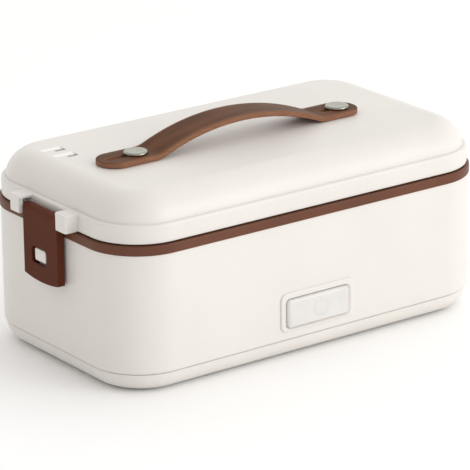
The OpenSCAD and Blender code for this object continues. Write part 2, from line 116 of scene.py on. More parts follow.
class Graph:
    """The node tree of one material or of the surroundings, built from the outside in."""

    def __init__(self, owner: Union[Material, bpy.types.World]) -> None:
        """Clears the node tree of a new material or world.

        Args:
            owner: the material or world.
        """
        self.owner = owner
        owner.use_nodes = True
        self.tree = owner.node_tree
        self.tree.nodes.clear()

    @classmethod
    def of(cls, name: str) -> "Graph":
        """Starts an empty material of a name."""
        return cls(bpy.data.materials.new(name))

    def node(self, kind: str, settings: dict[str, Any], inputs: dict[Any, Any]) -> bpy.types.Node:
        """Adds any node.

        Args:
            kind: the node's type.
            settings: its properties, set before the sockets.
            inputs: the value or the term of each socket, by name or by place.

        Returns:
            The node.
        """
        made = self.tree.nodes.new(kind)
        for key, value in settings.items():
            setattr(made, key, value)
        for key, value in inputs.items():
            if isinstance(value, Term):
                self.tree.links.new(value.socket, made.inputs[key])
            else:
                made.inputs[key].default_value = value
        return made

    def term(self, kind: str, settings: dict[str, Any], inputs: dict[Any, Any], out: Any = 0) -> Term:
        """Adds any node and returns one of its outputs, the first unless another is named."""
        return Term(self, self.node(kind, settings, inputs).outputs[out])

    def place(self, centre: Sequence[float] = (0, 0, 0), stretch: Sequence[float] = (1, 1, 1)) -> Term:
        """Gives the object coordinates, moved and stretched.

        Args:
            centre: the point that becomes the origin, in millimetres.
            stretch: the scale along each axis.

        Returns:
            The coordinates, in metres.
        """
        spot = self.term("ShaderNodeTexCoord", {}, {}, "Object")
        origin = [c * MM for c in centre]
        moved = self.term("ShaderNodeVectorMath", {"operation": "SUBTRACT"}, {0: spot, 1: origin})
        return self.term("ShaderNodeVectorMath", {"operation": "MULTIPLY"}, {0: moved, 1: list(stretch)})

    def noise(
        self, where: Term, size: float, detail: float = 2.0, rough: float = 0.5, warp: float = 0.0,
    ) -> Term:
        """Returns a noise about 0.5, with patches of a size in millimetres."""
        scale = 1 / (size * MM)
        inputs = {"Vector": where, "Scale": scale, "Detail": detail, "Roughness": rough, "Distortion": warp}
        return self.term("ShaderNodeTexNoise", {}, inputs, "Fac")

    def cells(self, where: Term, size: float, feature: str) -> Term:
        """Returns one distance in a pattern of cells of a size in millimetres."""
        inputs = {"Vector": where, "Scale": 1 / (size * MM)}
        return self.term("ShaderNodeTexVoronoi", {"feature": feature}, inputs, "Distance")

    def axis(self, where: Term, which: str) -> Term:
        """Returns the X, Y or Z of a vector."""
        return self.term("ShaderNodeSeparateXYZ", {}, {0: where}, which)

    def length(self, where: Term) -> Term:
        """Returns the length of a vector."""
        return self.term("ShaderNodeVectorMath", {"operation": "LENGTH"}, {0: where}, "Value")

    def blend(self, share: Any, first: Any, second: Any) -> Term:
        """Returns the mix of two colours, where the share is how much there is of the second."""
        return self.term("ShaderNodeMix", {"data_type": "RGBA"}, {0: share, 6: first, 7: second}, 2)

    def bump(self, height: Term, depth: float, strength: float) -> Term:
        """Returns the normal of a height from 0 to 1, where 1 is a depth in millimetres."""
        inputs = {"Height": height, "Distance": depth * MM, "Strength": strength}
        return self.term("ShaderNodeBump", {}, inputs)

    def finish(self, **sockets: Any) -> Material:
        """Closes the material with its surface shader.

        Args:
            **sockets: the shader's sockets, with _ for a space.

        Returns:
            The material.
        """
        inputs = {key.replace("_", " "): value for key, value in sockets.items()}
        surface = self.term("ShaderNodeBsdfPrincipled", {}, inputs)
        self.node("ShaderNodeOutputMaterial", {}, {"Surface": surface})
        return self.owner


@dataclass(frozen=True)
class MouldedPlastic:
    """Moulded plastic with a fine spark texture, faint flow shading and a soft shine."""

    name: str
    colour: Colour
    roughness: float = 0.42
    grain: float = 0.35
    grain_depth: float = 0.012
    mottle: float = 0.018
    specular: float = 0.5
    cloud: float = 38.0
    speck: float = 2.4

    def make(self) -> Material:
        """Returns the material."""
        g = Graph.of(self.name)
        spot = g.place()
        cloud = g.noise(spot, self.cloud, 2)
        speck = g.noise(spot, self.speck, 3, 0.6)
        grain = g.noise(spot, self.grain, 2, 0.7)
        dark, light = shade(self.colour, 1 - self.mottle), shade(self.colour, 1 + self.mottle)
        colour = g.blend(cloud.step(0.3, 0.7), dark, light)
        colour = g.blend(speck.step(0.56, 0.8) * 0.5, colour, shade(self.colour, 1 - 2.2 * self.mottle))
        return g.finish(
            Base_Color=colour,
            Roughness=self.roughness + (speck - 0.5) * 0.10 + (grain - 0.5) * 0.08,
            Specular_IOR_Level=self.specular,
            Normal=g.bump(grain, self.grain_depth, 0.8),
        )


@dataclass(frozen=True)
class FrostedPlastic:
    """Milky plastic that lets a little light in: cloudy, with a satin face."""

    name: str
    colour: Colour
    roughness: float = 0.3
    inner: float = 0.12
    cloud: float = 9.0
    grain: float = 0.28

    def make(self) -> Material:
        """Returns the material."""
        g = Graph.of(self.name)
        spot = g.place()
        cloud = g.noise(spot, self.cloud, 3)
        grain = g.noise(spot, self.grain, 2, 0.7)
        return g.finish(
            Base_Color=g.blend(cloud.step(0.32, 0.68), shade(self.colour, 0.965), self.colour),
            Roughness=self.roughness + (cloud - 0.5) * 0.12,
            Subsurface_Weight=self.inner,
            Subsurface_Radius=(0.004, 0.0045, 0.005),
            Subsurface_Scale=1.0,
            Coat_Weight=0.25,
            Coat_Roughness=0.15,
            Normal=g.bump(grain, 0.008, 0.6),
        )


@dataclass(frozen=True)
class LeatherFace:
    """The grain side of the strap: pebbled, darker in the pores, rubbed along its sides and bends."""

    name: str = "strap_leather_face"
    colour: Colour = linear(110, 70, 44)
    deep: Colour = linear(84, 53, 31)
    rubbed: Colour = linear(130, 88, 58)
    half_width: float = 10.1
    rub: float = 2.6
    bend_reach: float = 11.0
    pebble: float = 0.85
    front: float = 0.0
    bends: tuple[float, ...] = ()

    def make(self) -> Material:
        """Returns the material."""
        g = Graph.of(self.name)
        spot = g.place((0, -self.front, 0))
        cloud = g.noise(g.place(stretch=(0.35, 1, 1)), 14, 4, 0.6, 0.4)
        pebble = g.cells(spot, self.pebble, "DISTANCE_TO_EDGE").step(0.0, 0.28)
        pores = g.noise(spot, 0.45, 3, 0.6)
        creases = g.noise(g.place(stretch=(2.4, 0.3, 1)), 2.1, 3, 0.65, 0.8)
        colour = g.blend(cloud.step(0.3, 0.72), self.deep, self.colour)
        colour = g.blend((1 - pebble) * 0.45, colour, shade(self.deep, 0.8))
        x, y = g.axis(spot, "X"), g.axis(spot, "Y")
        side = (y * y) ** 0.5
        worn = side.step((self.half_width - self.rub) * MM, (self.half_width - 0.2) * MM)
        colour = g.blend(worn * (0.35 + 0.65 * cloud), colour, self.rubbed)
        bent: Any = 0.0
        for place in self.bends:
            offset = x - place * MM
            bent = bent + (1 - ((offset * offset) ** 0.5).step(0.0, self.bend_reach * MM))
        folds = bent * creases.step(0.52, 0.7)
        return g.finish(
            Base_Color=g.blend(folds * 0.4, colour, shade(self.deep, 0.85)),
            Roughness=0.46 + pores * 0.16 - worn * 0.06,
            Specular_IOR_Level=0.1,
            Normal=g.bump(pebble * 0.6 + pores * 0.4 - folds * 0.5, 0.05, 0.7),
        )


@dataclass(frozen=True)
class LeatherEdge:
    """The cut edge of the strap: layered fibres under a rubbed, waxed finish."""

    name: str = "strap_leather_edge"
    light: Colour = linear(146, 100, 70)
    dark: Colour = linear(116, 75, 51)
    layer: float = 0.9
    fibre: float = 0.35

    def make(self) -> Material:
        """Returns the material."""
        g = Graph.of(self.name)
        layers = g.noise(g.place(stretch=(0.12, 0.12, 2.6)), self.layer, 3, 0.6, 0.3)
        fibre = g.noise(g.place(), self.fibre, 3, 0.7)
        colour = g.blend(layers.step(0.35, 0.68), self.dark, self.light)
        return g.finish(
            Base_Color=g.blend(fibre.step(0.5, 0.78) * 0.4, colour, shade(self.dark, 0.85)),
            Roughness=0.5 + fibre * 0.2,
            Specular_IOR_Level=0.4,
            Normal=g.bump(layers * 0.5 + fibre * 0.5, 0.06, 0.6),
        )


class Grain(Enum):
    """How a metal was worked."""

    TURNED = "turned"
    LINED = "lined"
    BLASTED = "blasted"


@dataclass(frozen=True)
class WorkedMetal:
    """Bare metal with the marks of its making: turned rings, drawn lines or a blasted skin."""

    name: str
    colour: Colour
    roughness: float = 0.28
    grain: Grain = Grain.BLASTED
    centre: Spot = (0.0, 0.0, 0.0)
    pitch: float = 0.16
    smear: float = 4.5

    def make(self) -> Material:
        """Returns the material."""
        g = Graph.of(self.name)
        spot = g.place(self.centre)
        if self.grain is Grain.TURNED:
            radius = g.length(g.place(self.centre, (1, 1, 0)))
            line = g.term("ShaderNodeCombineXYZ", {}, {0: radius * 18, 1: 0.0, 2: 0.0})
            marks = g.noise(line, self.pitch * 10, 3, 0.6)
        elif self.grain is Grain.LINED:
            marks = g.noise(g.place(self.centre, (0.04, 1.2, 1.2)), self.pitch * 2, 3, 0.6)
        else:
            marks = g.noise(spot, self.pitch * 2.4, 3, 0.7)
        smear = g.noise(spot, self.smear, 3, 0.6).step(0.4, 0.75)
        colour = g.blend(marks.step(0.3, 0.7), shade(self.colour, 0.9), self.colour)
        return g.finish(
            Base_Color=g.blend(smear * 0.25, colour, shade(self.colour, 0.82)),
            Metallic=1.0,
            Roughness=self.roughness + (marks - 0.5) * 0.16 + smear * 0.08,
            Normal=g.bump(marks, 0.012, 0.5),
        )


@dataclass(frozen=True)
class SoftRubber:
    """Rubber or silicone: matt, a little dusty, with a fine skin."""

    name: str
    colour: Colour
    roughness: float = 0.7
    dust: float = 6.0
    skin: float = 0.4

    def make(self) -> Material:
        """Returns the material."""
        g = Graph.of(self.name)
        spot = g.place()
        dust = g.noise(spot, self.dust, 4, 0.65)
        skin = g.noise(spot, self.skin, 2, 0.6)
        return g.finish(
            Base_Color=g.blend(dust.step(0.45, 0.8) * 0.6, self.colour, shade(self.colour, 1.25)),
            Roughness=self.roughness + (dust - 0.5) * 0.14,
            Specular_IOR_Level=0.35,
            Normal=g.bump(skin, 0.02, 0.7),
        )


@dataclass(frozen=True)
class CircuitBoard:
    """A lacquered board with its traces and pads under the lacquer."""

    name: str = "control_board_lacquer"
    colour: Colour = (0.018, 0.10, 0.045, 1.0)
    trace: Colour = (0.05, 0.22, 0.09, 1.0)

    def make(self) -> Material:
        """Returns the material."""
        g = Graph.of(self.name)
        spot = g.place()
        lines = g.term("ShaderNodeTexBrick", {"offset": 0.35}, {
            "Vector": spot, "Scale": 260.0, "Mortar Size": 0.03, "Brick Width": 1.4, "Row Height": 0.5,
        }, "Fac")
        cloud = g.noise(spot, 3, 3)
        board = g.blend(cloud, self.colour, shade(self.colour, 1.3))
        return g.finish(
            Base_Color=g.blend(lines * 0.8, board, self.trace),
            Roughness=0.28 + cloud * 0.12,
            Coat_Weight=0.4,
            Coat_Roughness=0.1,
            Normal=g.bump(lines, 0.03, 0.6),
        )


# ---------------------------------------------------------------- modelling


@dataclass(frozen=True)
class Plan:
    """A rounded rectangle, which levels and slabs are made from."""

    length: float
    width: float
    radius: float

    def grow(self, by: float) -> "Plan":
        """Returns the plan moved outwards on every side, or inwards where it is negative."""
        return Plan(self.length + 2 * by, self.width + 2 * by, self.radius + by)

    def at(self, height: float, round: float = 0.0, steps: int = 4, up: float = 0.0) -> "Level":
        """Returns the plan at one level, with the rounding of its ring of edges."""
        return Level(self, height, round, steps, up)

    def slab(self, low: float, high: float, arcs: int = 8) -> "Form":
        """Returns a plain slab of this plan between two levels."""
        return Form().loft(self.at(low), self.at(high), arcs=arcs)


@dataclass(frozen=True)
class Level:
    """A plan at one level of a lofted shape, how its edges are rounded, and its shift in Y."""

    plan: Plan
    at: float
    round: float
    steps: int
    up: float


class Facing(Enum):
    """Which way the loft axis of a shape points."""

    FRONT = Matrix(((1, 0, 0, 0), (0, 0, -1, 0), (0, 1, 0, 0), (0, 0, 0, 1)))
    RIGHT = Matrix(((0, 0, 1, 0), (1, 0, 0, 0), (0, 1, 0, 0), (0, 0, 0, 1)))


class Join(Enum):
    """How one shape acts on another."""

    CUT = "DIFFERENCE"
    ADD = "UNION"
    KEEP = "INTERSECT"


class Form:
    """A shape being modelled, in millimetres. Most of its methods return it, so that they chain."""

    def __init__(self) -> None:
        """Starts with nothing."""
        self.bm = bmesh.new()

    def grid(self, spot: Matrix) -> list[bmesh.types.BMVert]:
        """Adds one square face of side 2, placed by a matrix, and returns its corners."""
        return bmesh.ops.create_grid(self.bm, x_segments=1, y_segments=1, size=1.0, matrix=spot)["verts"]

    def ring(self, level: Level, arcs: int) -> list[bmesh.types.BMEdge]:
        """Adds the closed ring of edges of one level.

        Args:
            level: its size and height.
            arcs: the number of edges round each corner.

        Returns:
            The ring's edges.
        """
        half = Matrix.Diagonal((level.plan.length / 2, level.plan.width / 2, 1, 1))
        corners = self.grid(Matrix.Translation((0, level.up, level.at)) @ half)
        before = set(self.bm.faces) - set(corners[0].link_faces)
        bmesh.ops.bevel(
            self.bm, geom=corners, offset=level.plan.radius, offset_type="OFFSET", segments=arcs,
            profile=0.5, affect="VERTICES", clamp_overlap=False, material=-1,
        )
        face = next(f for f in self.bm.faces if f not in before)
        edges = list(face.edges)
        bmesh.ops.delete(self.bm, geom=[face], context="FACES_ONLY")
        return edges

    def loft(self, *levels: Level, closed: bool = False, arcs: int = 14) -> "Form":
        """Adds a shape through several levels, bridged in order, with each ring rounded as it says.

        Args:
            *levels: the levels, in order along the wall.
            closed: whether the last level joins the first, as in a frame; otherwise both ends are filled.
            arcs: the number of edges round each corner.

        Returns:
            The form.
        """
        rings = [self.ring(level, arcs) for level in levels]
        for first, second in zip(rings, rings[1:]):
            bmesh.ops.bridge_loops(self.bm, edges=first + second)
        if closed:
            bmesh.ops.bridge_loops(self.bm, edges=rings[-1] + rings[0])
        else:
            bmesh.ops.edgeloop_fill(self.bm, edges=rings[0])
            bmesh.ops.edgeloop_fill(self.bm, edges=rings[-1])
        for level, ring in zip(levels, rings):
            if level.round > 0:
                self.bevel(ring, level.round, level.steps)
        return self

    def extrude(self, faces: Iterable[bmesh.types.BMFace], along: Sequence[float]) -> "Form":
        """Extrudes faces along a vector and keeps the ones they start from.

        Args:
            faces: the faces.
            along: the vector.

        Returns:
            The form.
        """
        made = bmesh.ops.extrude_face_region(self.bm, geom=list(faces), use_keep_orig=True)["geom"]
        ends = [v for v in made if isinstance(v, bmesh.types.BMVert)]
        bmesh.ops.translate(self.bm, verts=ends, vec=along)
        return self

    def prism(self, outline: Iterable[Point], start: float, depth: float) -> "Form":
        """Adds an outline of (x, z) points, extruded along +Y from a start."""
        verts = [self.bm.verts.new((x, start, z)) for x, z in outline]
        return self.extrude(bmesh.ops.contextual_create(self.bm, geom=verts)["faces"][:1], (0, depth, 0))

    def turned(self, profile: Sequence[Point], steps: int) -> "Form":
        """Adds a shape turned round Z.

        Args:
            profile: its half section as (radius, z), from the axis to the axis.
            steps: the number of steps in the turn.

        Returns:
            The form.
        """
        verts = [self.bm.verts.new((r, 0, z)) for r, z in profile]
        edges = [self.bm.edges.new(pair) for pair in zip(verts, verts[1:])]
        bmesh.ops.spin(
            self.bm, geom=verts + edges, cent=(0, 0, 0), axis=(0, 0, 1), dvec=(0, 0, 0),
            angle=math.tau, steps=steps, use_merge=True, use_duplicate=False,
        )
        bmesh.ops.remove_doubles(self.bm, verts=self.bm.verts, dist=1e-4)
        return self

    def rod(self, radius: float, start: float, end: float, steps: int = 32) -> "Form":
        """Adds a round bar along Z between two ends."""
        bmesh.ops.create_cone(
            self.bm, cap_ends=True, segments=steps, radius1=radius, radius2=radius,
            depth=end - start, matrix=Matrix.Translation((0, 0, (start + end) / 2)),
        )
        return self

    def bevel(self, edges: Iterable[bmesh.types.BMEdge], width: float, steps: int) -> "Form":
        """Rounds edges with a radius and a number of faces round the curve."""
        bmesh.ops.bevel(
            self.bm, geom=list(edges), offset=width, offset_type="OFFSET", segments=steps,
            profile=0.5, affect="EDGES", clamp_overlap=True, material=-1,
        )
        return self

    def soften(
        self, width: float, steps: int, limit: float, where: Callable[[bmesh.types.BMEdge], bool],
    ) -> "Form":
        """Rounds the edges that are sharper than a limit.

        Args:
            width: the radius.
            steps: the number of faces round the curve.
            limit: the angle between faces, in degrees.
            where: says of an edge whether it is rounded.

        Returns:
            The form.
        """
        pairs = [e for e in self.bm.edges if len(e.link_faces) == 2]
        return self.bevel(
            [e for e in pairs if e.calc_face_angle(0) > math.radians(limit) and where(e)], width, steps,
        )

    def move(self, x: float = 0, y: float = 0, z: float = 0) -> "Form":
        """Moves the whole form and returns it."""
        bmesh.ops.translate(self.bm, verts=self.bm.verts, vec=(x, y, z))
        return self

    def face(self, facing: Facing) -> "Form":
        """Turns the whole form to face a way and returns it."""
        bmesh.ops.transform(self.bm, matrix=facing.value, verts=self.bm.verts)
        return self

    def turn_z(self, degrees: float) -> "Form":
        """Turns the whole form about the Z axis and returns it."""
        turn = Matrix.Rotation(math.radians(degrees), 3, "Z")
        bmesh.ops.rotate(self.bm, cent=(0, 0, 0), matrix=turn, verts=self.bm.verts)
        return self

    def tidy(self) -> "Form":
        """Merges doubles, points every face outwards and returns the form."""
        bmesh.ops.remove_doubles(self.bm, verts=self.bm.verts, dist=1e-4)
        bmesh.ops.dissolve_degenerate(self.bm, dist=1e-3, edges=self.bm.edges)
        bmesh.ops.recalc_face_normals(self.bm, faces=self.bm.faces)
        return self

    def twin(self, x: int = -1, y: int = 1) -> "Form":
        """Returns a mirrored copy, at the other end of the box unless told otherwise."""
        other = Form()
        other.bm = self.bm.copy()
        bmesh.ops.scale(other.bm, vec=(x, y, 1), verts=other.bm.verts)
        bmesh.ops.reverse_faces(other.bm, faces=other.bm.faces)
        return other

    def mesh(self, name: str) -> bpy.types.Mesh:
        """Returns the form as a mesh, still in millimetres."""
        made = bpy.data.meshes.new(name)
        self.bm.to_mesh(made)
        return made

    def add(self, *others: "Form") -> "Form":
        """Puts other forms beside this one, without joining their surfaces."""
        for other in others:
            self.bm.from_mesh(other.mesh("part"))
        return self

    def combine(self, kind: Join, *others: "Form") -> "Form":
        """Cuts other forms from this one, joins them on, or keeps what they share.

        Args:
            kind: what is done.
            *others: the other forms.

        Returns:
            The form.
        """
        self.tidy()
        host = bpy.data.objects.new("host", self.mesh("host"))
        bpy.context.scene.collection.objects.link(host)
        tools = []
        for other in others:
            tool = bpy.data.objects.new("tool", other.tidy().mesh("tool"))
            bpy.context.scene.collection.objects.link(tool)
            step = host.modifiers.new("step", "BOOLEAN")
            step.operation, step.solver, step.object = kind.value, "EXACT", tool
            tools.append(tool)
        shaped = host.evaluated_get(bpy.context.evaluated_depsgraph_get())
        made = bpy.data.meshes.new_from_object(shaped)
        self.bm.clear()
        self.bm.from_mesh(made)
        for gone in [host, *tools]:
            data = gone.data
            bpy.data.objects.remove(gone)
            bpy.data.meshes.remove(data)
        bpy.data.meshes.remove(made)
        return self.tidy()

    def piece(
        self, name: str, body: str, finishes: Sequence[Material], slot: str,
        stands_for: Sequence[str], sharp: float = 38,
    ) -> bpy.types.Object:
        """Makes the finished object and puts it on its body.

        Args:
            name: the piece's name.
            body: the body it rides on.
            finishes: its materials, in order.
            slot: the record's material slot; not used.
            stands_for: the nodes it replaces.
            sharp: the angle past which an edge shades sharp, in degrees.

        Returns:
            The object.
        """
        bmesh.ops.scale(self.bm, vec=(MM, MM, MM), verts=self.bm.verts)
        for face in self.bm.faces:
            face.smooth = True
        data = self.mesh(name)
        self.bm.free()
        data.set_sharp_from_angle(angle=math.radians(sharp))
        for finish in finishes:
            data.materials.append(finish)
        made = bpy.data.objects.new(name, data)
        bpy.context.scene.collection.objects.link(made)
        even = made.modifiers.new("even_shading", "WEIGHTED_NORMAL")
        even.keep_sharp, even.weight = True, 80
        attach(made, body)
        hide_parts(*stands_for)
        LOG.info("%s: %d faces on %s", name, len(data.polygons), body)
        return made


def middle(edge: bmesh.types.BMEdge) -> Vector:
    """Returns the middle of an edge."""
    return (edge.verts[0].co + edge.verts[1].co) / 2


def at_corners(x: float, y: float) -> list[Point]:
    """Returns the four corners of a rectangle centred on the origin."""
    return [(sx * x, sy * y) for sx in (-1, 1) for sy in (-1, 1)]


def boxed(left: float, low: float, right: float, high: float) -> list[Point]:
    """Returns the outline of an upright rectangle."""
    return [(left, low), (right, low), (right, high), (left, high)]


# ---------------------------------------------------------------- the box

CORNER = 18  # edges round each corner of the body's large shapes
SCREWS = (72.0, 43.0)  # how far the base screws and their posts stand from the middle


def made(finish: Any) -> Any:
    """Returns a field that holds a finish's material, made with its owner."""
    return field(default_factory=finish.make)


@dataclass
class Palette:
    """The finishes, made once and shared."""

    cream: Material = made(MouldedPlastic(
        "cream_shell_plastic", (0.72, 0.692, 0.655, 1), 0.42, 0.32, 0.010, 0.012,
    ))
    umber: Material = made(MouldedPlastic(
        "umber_plastic", (0.128, 0.049, 0.027, 1), 0.44, 0.3, 0.014, 0.07, 0.2,
    ))
    flap: Material = made(MouldedPlastic(
        "umber_flap_plastic", (0.095, 0.0255, 0.0122, 1), 0.5, 0.3, 0.014, 0.07, 0.06,
    ))
    frost: Material = made(FrostedPlastic("frosted_plastic", (0.70, 0.705, 0.71, 1)))
    cap: Material = made(FrostedPlastic("frosted_cap_plastic", (0.69, 0.68, 0.658, 1), 0.36))
    # painted highlight: a lighter cream for the vent scoop floors, standing in for the light they catch
    pale: Material = made(MouldedPlastic(
        "vent_ramp_painted_highlight", (0.86, 0.84, 0.81, 1), 0.36, 0.32, 0.008, 0.012,
    ))
    # the lid seal's rubber, made near-black as painted shade for the gap line under the lid rim
    seal: Material = made(SoftRubber("seal_rubber_painted_shade", (0.05, 0.04, 0.036, 1), 0.6))
    ink: Material = made(MouldedPlastic("symbol_ink", (0.63, 0.63, 0.62, 1), 0.34, 0.25, 0.006, 0.03))
    black: Material = made(MouldedPlastic("black_plastic", (0.018, 0.018, 0.02, 1), 0.42, 0.3, 0.02, 0.12))
    rubber: Material = made(SoftRubber("foot_rubber_grey", (0.055, 0.055, 0.058, 1), 0.72))
    silicone: Material = made(SoftRubber("silicone_clear_grey", (0.50, 0.50, 0.48, 1), 0.5))
    steel: Material = made(WorkedMetal("screw_steel_bright", (0.56, 0.56, 0.55, 1), 0.3))
    pan: Material = made(WorkedMetal("pan_steel_satin", (0.62, 0.62, 0.61, 1), 0.3, Grain.LINED, pitch=0.3))
    alloy: Material = made(WorkedMetal("plate_alloy_blasted", (0.66, 0.67, 0.68, 1), 0.42))
    board: Material = made(CircuitBoard())
    sleeve: Material = made(SoftRubber("wire_sleeve_red", (0.35, 0.028, 0.02, 1), 0.45))


@dataclass
class Body:
    """The outer shell, its catches, the base cover and the brown flange with its tub."""

    palette: Palette
    shell: Plan = Plan(233.6, 132.6, 29.8)
    wall: float = 2.2
    seam: float = 10.95
    seam_round: float = 1.7
    button_hole: Plan = Plan(45.8, 19.8, 3.4)
    button_at: Point = (1.2, 26.2)
    inlet_hole: Plan = Plan(23.0, 13.0, 3.0)
    inlet_z: float = 26.0
    board_posts: Point = (26.0, 31.0)
    board_post: Bar = (2.2, 57.9, 64.5)
    catch: Plan = Plan(9.8, 6.6, 1.2)
    catch_x: Point = (115.9, 121.6)
    catch_at: Point = (1.6, 60.5)
    front_cut: Point = (62.0, 68.0)
    end_cut: Point = (112.0, 119.0)
    cover_inset: float = 1.1
    cover_low: float = 0.8
    cover_high: float = 10.8
    lip: Plan = Plan(228.9, 127.9, 27.45)
    lip_wall: float = 1.6
    lip_top: float = 14.0
    cover_floor: float = 3.2
    cover_roll: float = 9.8
    screw_well: Bar = (3.4, -1.0, 4.0)
    foot_seat: Bar = (8.1, -1.0, 1.8)
    slot: Plan = Plan(2.8, 26.0, 1.3)
    slot_pitch: float = 7.0
    feet: Point = (90.0, 41.0)
    flange: Plan = Plan(235.0, 134.0, 30.5)
    flange_low: float = 73.6
    flange_top: float = 78.6
    cavity: Plan = Plan(207.0, 107.0, 16.0)
    recess: Plan = Plan(216.0, 116.0, 18.0)
    ledge: float = 77.2
    floor: float = 24.0
    tub_wall: float = 1.8
    plate_hole: Plan = Plan(118.0, 36.0, 4.0)
    screw_post: Bar = (4.0, 7.0, 22.8)
    clamp_post: Bar = (3.2, 17.5, 22.8)
    clamp_posts: Point = (36.0, 22.0)

    def build_shell(self) -> None:
        """Builds the outer shell with its openings and board posts."""
        inner = self.shell.grow(-self.wall)
        form = Form().loft(
            self.shell.at(self.seam, self.seam_round, 5), self.shell.at(self.flange_low),
            inner.at(self.flange_low), inner.at(self.seam), closed=True, arcs=CORNER,
        )
        x, z = self.button_at
        hole = self.button_hole.slab(*self.front_cut).face(Facing.FRONT).move(x, 0, z)
        socket = self.inlet_hole.slab(*self.end_cut).face(Facing.RIGHT).move(0, 0, self.inlet_z)
        form.combine(Join.CUT, hole, socket)
        reach, height = self.board_posts
        for side in (-1, 1):
            post = Form().rod(*self.board_post, 20).face(Facing.FRONT)
            form.add(post.move(x + side * reach, 0, height))
        form.piece("outer_shell_dressed", "base", [self.palette.cream], "body_cream", ["outer_shell"])

    def build_catches(self) -> None:
        """Builds the square catch that stands in each latch window."""
        root, tip = self.catch_x
        right = Form().loft(self.catch.at(root), self.catch.at(tip, 0.6), arcs=6)
        right.face(Facing.RIGHT).move(0, *self.catch_at)
        left = right.twin()
        for name, form in (("catch_right", right), ("catch_left", left)):
            form.tidy().piece(name, "base", [self.palette.cream], "body_cream", ["outer_shell"])

    def build_base(self) -> None:
        """Builds the base cover with its vent slots, screw wells and foot seats."""
        outer, inner = self.shell.grow(-self.cover_inset), self.lip.grow(-self.lip_wall)
        form = Form().loft(
            outer.at(self.cover_low, self.cover_roll, 12), outer.at(self.cover_high, 0.18, 2),
            self.lip.at(self.cover_high), self.lip.at(self.lip_top, 0.3, 2),
            inner.at(self.lip_top, 0.3, 2), inner.at(self.cover_floor, 7.0, 6), arcs=CORNER,
        )
        cutters = [self.slot.slab(-1, 5, 6).move(i * self.slot_pitch) for i in range(-4, 5)]
        cutters += [Form().rod(*self.screw_well).move(x, y) for x, y in at_corners(*SCREWS)]
        cutters += [Form().rod(*self.foot_seat, 48).move(x, y) for x, y in at_corners(*self.feet)]
        form.combine(Join.CUT, *cutters)
        form.soften(0.3, 2, 60, lambda e: middle(e).z < 1.0)
        form.tidy().piece("base_cover_dressed", "base", [self.palette.cream], "body_cream", ["base_cover"])

    def build_flange(self) -> None:
        """Builds the brown band with the ledge that the container hangs on."""
        form = Form().loft(
            self.cavity.at(self.flange_low), self.cavity.at(self.ledge, 0.25, 2),
            self.recess.at(self.ledge), self.recess.at(self.flange_top, 0.35, 2),
            self.flange.at(self.flange_top, 0.8), self.flange.at(self.flange_low, 0.6, 3),
            closed=True, arcs=CORNER,
        )
        form.tidy().piece("flange_band", "base", [self.palette.umber], "umber_plastic", ["flange_ring"])

    def build_tub(self) -> None:
        """Builds the heating tub with its posts."""
        outer = self.cavity.grow(self.tub_wall)
        form = Form().loft(
            self.cavity.at(self.floor, 2.0), self.cavity.at(self.flange_low),
            outer.at(self.flange_low), outer.at(self.floor - self.tub_wall, 2.5), arcs=CORNER,
        )
        form.combine(Join.CUT, self.plate_hole.slab(self.floor - 3, self.floor + 1))
        for post, reach in ((self.screw_post, SCREWS), (self.clamp_post, self.clamp_posts)):
            form.add(*(Form().rod(*post, 24).move(x, y) for x, y in at_corners(*reach)))
        form.piece("heating_tub", "base", [self.palette.umber], "umber_plastic", ["chamber_tub"])

    def build(self) -> None:
        """Builds the whole body."""
        self.build_shell()
        self.build_catches()
        self.build_base()
        self.build_flange()
        self.build_tub()


